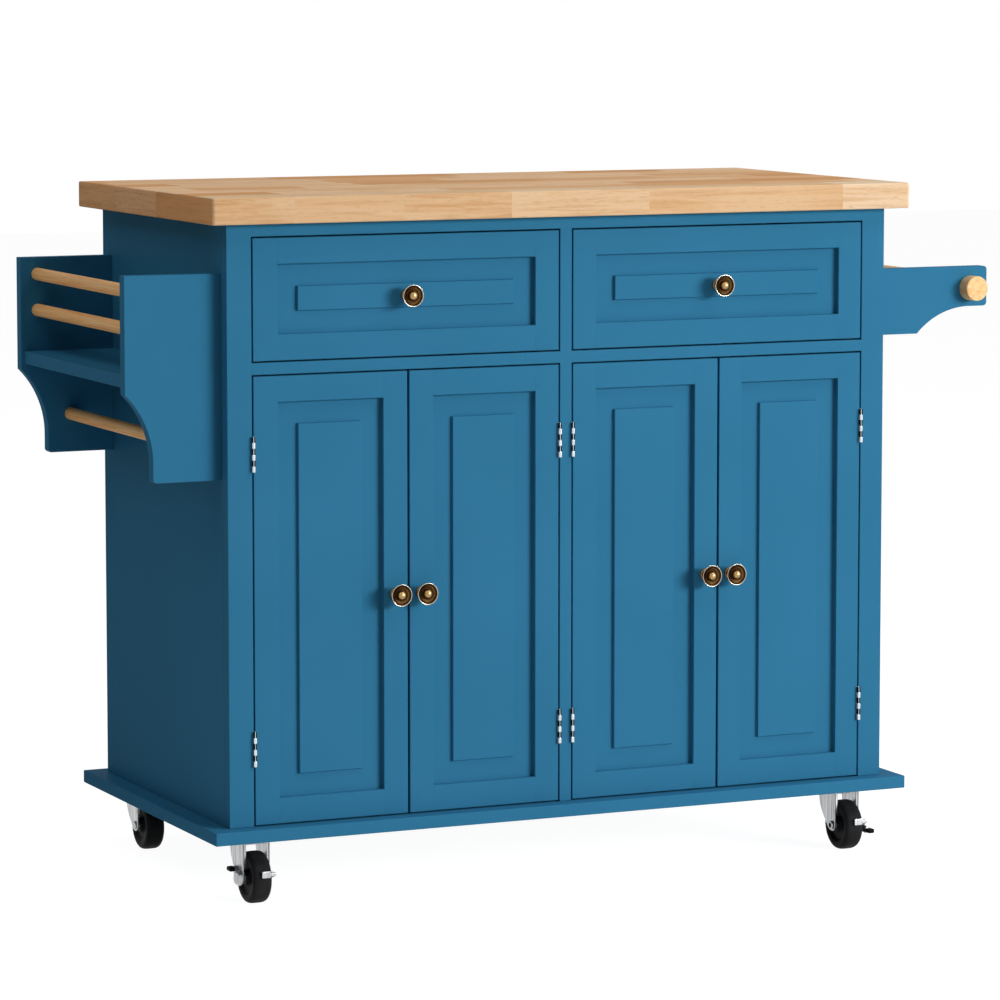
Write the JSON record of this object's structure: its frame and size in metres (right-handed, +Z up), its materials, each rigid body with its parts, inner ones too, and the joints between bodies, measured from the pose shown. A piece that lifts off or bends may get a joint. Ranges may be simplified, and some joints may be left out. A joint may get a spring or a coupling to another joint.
{
  "type": "kitchen island unit",
  "caption": "Painted kitchen island on casters with wooden worktop, drawers over cupboards, side spice rack and towel rack.",
  "frame": {"origin": "on the floor, under the middle of the bounding box", "axes": "+Z up, +X to the right of someone facing the doors, the doors and drawers face -Y"},
  "size_m": [1.264, 0.5142, 0.92],
  "materials": {
    "blue_paint": "satin mid-blue paint over board",
    "oiled_rubberwood": "clear satin over finger-jointed light wood",
    "dowel_wood": "clear satin over turned light wood",
    "pine": "plain sanded softwood",
    "antique_bronze": "dark antique bronze with rubbed edges",
    "bright_nickel": "bright nickel plate",
    "zinc_plated_steel": "bright zinc plate",
    "black_rubber": "matt black rubber"
  },
  "bodies": {
    "cabinet": {"worktop": "oiled_rubberwood", "base_board": "blue_paint", "side_panel_left": "blue_paint", "side_panel_right": "blue_paint", "centre_divider": "blue_paint", "back_panel": "blue_paint", "face_frame": "blue_paint", "shelf_left": "blue_paint", "shelf_right": "blue_paint", "hinge_leaf_frame_left_outer_upper": "bright_nickel", "hinge_leaf_frame_left_outer_lower": "bright_nickel", "hinge_leaf_frame_left_inner_upper": "bright_nickel", "hinge_leaf_frame_left_inner_lower": "bright_nickel", "hinge_leaf_frame_right_inner_upper": "bright_nickel", "hinge_leaf_frame_right_inner_lower": "bright_nickel", "hinge_leaf_frame_right_outer_upper": "bright_nickel", "hinge_leaf_frame_right_outer_lower": "bright_nickel", "caster_plate_front_left": "zinc_plated_steel", "caster_plate_front_right": "zinc_plated_steel", "caster_plate_back_left": "zinc_plated_steel", "caster_plate_back_right": "zinc_plated_steel", "spice_rack_frame": "blue_paint", "spice_rack_rail_top": "dowel_wood", "spice_rack_rail_middle": "dowel_wood", "spice_rack_rail_bottom": "dowel_wood", "towel_bracket_front": "blue_paint", "towel_bracket_back": "blue_paint", "towel_bar": "dowel_wood"},
    "drawer_left": {"drawer_front_left": "blue_paint", "drawer_box_left": "pine", "knob_drawer_left": "antique_bronze"},
    "drawer_right": {"drawer_front_right": "blue_paint", "drawer_box_right": "pine", "knob_drawer_right": "antique_bronze"},
    "door_left_outer": {"door_left_outer": "blue_paint", "knob_door_left_outer": "antique_bronze", "hinge_leaf_door_left_outer_upper": "bright_nickel", "hinge_leaf_door_left_outer_lower": "bright_nickel"},
    "door_left_inner": {"door_left_inner": "blue_paint", "knob_door_left_inner": "antique_bronze", "hinge_leaf_door_left_inner_upper": "bright_nickel", "hinge_leaf_door_left_inner_lower": "bright_nickel"},
    "door_right_inner": {"door_right_inner": "blue_paint", "knob_door_right_inner": "antique_bronze", "hinge_leaf_door_right_inner_upper": "bright_nickel", "hinge_leaf_door_right_inner_lower": "bright_nickel"},
    "door_right_outer": {"door_right_outer": "blue_paint", "knob_door_right_outer": "antique_bronze", "hinge_leaf_door_right_outer_upper": "bright_nickel", "hinge_leaf_door_right_outer_lower": "bright_nickel"},
    "swivel_front_left": {"caster_fork_front_left": "zinc_plated_steel"},
    "swivel_front_right": {"caster_fork_front_right": "zinc_plated_steel"},
    "swivel_back_left": {"caster_fork_back_left": "zinc_plated_steel"},
    "swivel_back_right": {"caster_fork_back_right": "zinc_plated_steel"},
    "wheel_front_left": {"caster_wheel_front_left": "black_rubber"},
    "wheel_front_right": {"caster_wheel_front_right": "black_rubber"},
    "wheel_back_left": {"caster_wheel_back_left": "black_rubber"},
    "wheel_back_right": {"caster_wheel_back_right": "black_rubber"},
    "brake_front_left": {"brake_lever_front_left": "zinc_plated_steel"},
    "brake_front_right": {"brake_lever_front_right": "zinc_plated_steel"}
  },
  "joints": [
    {"name": "door_left_outer_hinge", "type": "hinge", "parent": "cabinet", "child": "door_left_outer", "pos_m": [-0.466, -0.2352, 0.39755], "axis": [0, 0, -1], "range_deg": [0, 110]},
    {"name": "door_left_inner_hinge", "type": "hinge", "parent": "cabinet", "child": "door_left_inner", "pos_m": [-0.031, -0.2352, 0.39755], "axis": [0, 0, 1], "range_deg": [0, 80]},
    {"name": "door_right_inner_hinge", "type": "hinge", "parent": "cabinet", "child": "door_right_inner", "pos_m": [-0.012, -0.2352, 0.39755], "axis": [0, 0, -1], "range_deg": [0, 80]},
    {"name": "door_right_outer_hinge", "type": "hinge", "parent": "cabinet", "child": "door_right_outer", "pos_m": [0.423, -0.2352, 0.39755], "axis": [0, 0, 1], "range_deg": [0, 110]},
    {"name": "drawer_left_slide", "type": "slide", "parent": "cabinet", "child": "drawer_left", "axis": [0, -1, 0], "range_m": [0, 0.3]},
    {"name": "drawer_right_slide", "type": "slide", "parent": "cabinet", "child": "drawer_right", "axis": [0, -1, 0], "range_m": [0, 0.3]},
    {"name": "caster_front_left_swivel", "type": "hinge", "parent": "cabinet", "child": "swivel_front_left", "pos_m": [-0.4585, -0.1894, 0.082], "axis": [0, 0, 1], "continuous": true},
    {"name": "caster_front_right_swivel", "type": "hinge", "parent": "cabinet", "child": "swivel_front_right", "pos_m": [0.4155, -0.1894, 0.082], "axis": [0, 0, 1], "continuous": true},
    {"name": "caster_back_left_swivel", "type": "hinge", "parent": "cabinet", "child": "swivel_back_left", "pos_m": [-0.4585, 0.2101, 0.082], "axis": [0, 0, 1], "continuous": true},
    {"name": "caster_back_right_swivel", "type": "hinge", "parent": "cabinet", "child": "swivel_back_right", "pos_m": [0.4155, 0.2101, 0.082], "axis": [0, 0, 1], "continuous": true},
    {"name": "caster_front_left_roll", "type": "hinge", "parent": "swivel_front_left", "child": "wheel_front_left", "pos_m": [-0.4585, -0.2094, 0.034], "axis": [1, 0, 0], "continuous": true},
    {"name": "caster_front_right_roll", "type": "hinge", "parent": "swivel_front_right", "child": "wheel_front_right", "pos_m": [0.4155, -0.2094, 0.034], "axis": [1, 0, 0], "continuous": true},
    {"name": "caster_back_left_roll", "type": "hinge", "parent": "swivel_back_left", "child": "wheel_back_left", "pos_m": [-0.4585, 0.1901, 0.034], "axis": [1, 0, 0], "continuous": true},
    {"name": "caster_back_right_roll", "type": "hinge", "parent": "swivel_back_right", "child": "wheel_back_right", "pos_m": [0.4155, 0.1901, 0.034], "axis": [1, 0, 0], "continuous": true},
    {"name": "brake_front_left_pedal", "type": "hinge", "parent": "swivel_front_left", "child": "brake_front_left", "pos_m": [-0.4585, -0.2094, 0.034], "axis": [-1, 0, 0], "range_deg": [0, 15]},
    {"name": "brake_front_right_pedal", "type": "hinge", "parent": "swivel_front_right", "child": "brake_front_right", "pos_m": [0.4155, -0.2094, 0.034], "axis": [1, 0, 0], "range_deg": [0, 15]}
  ]
}
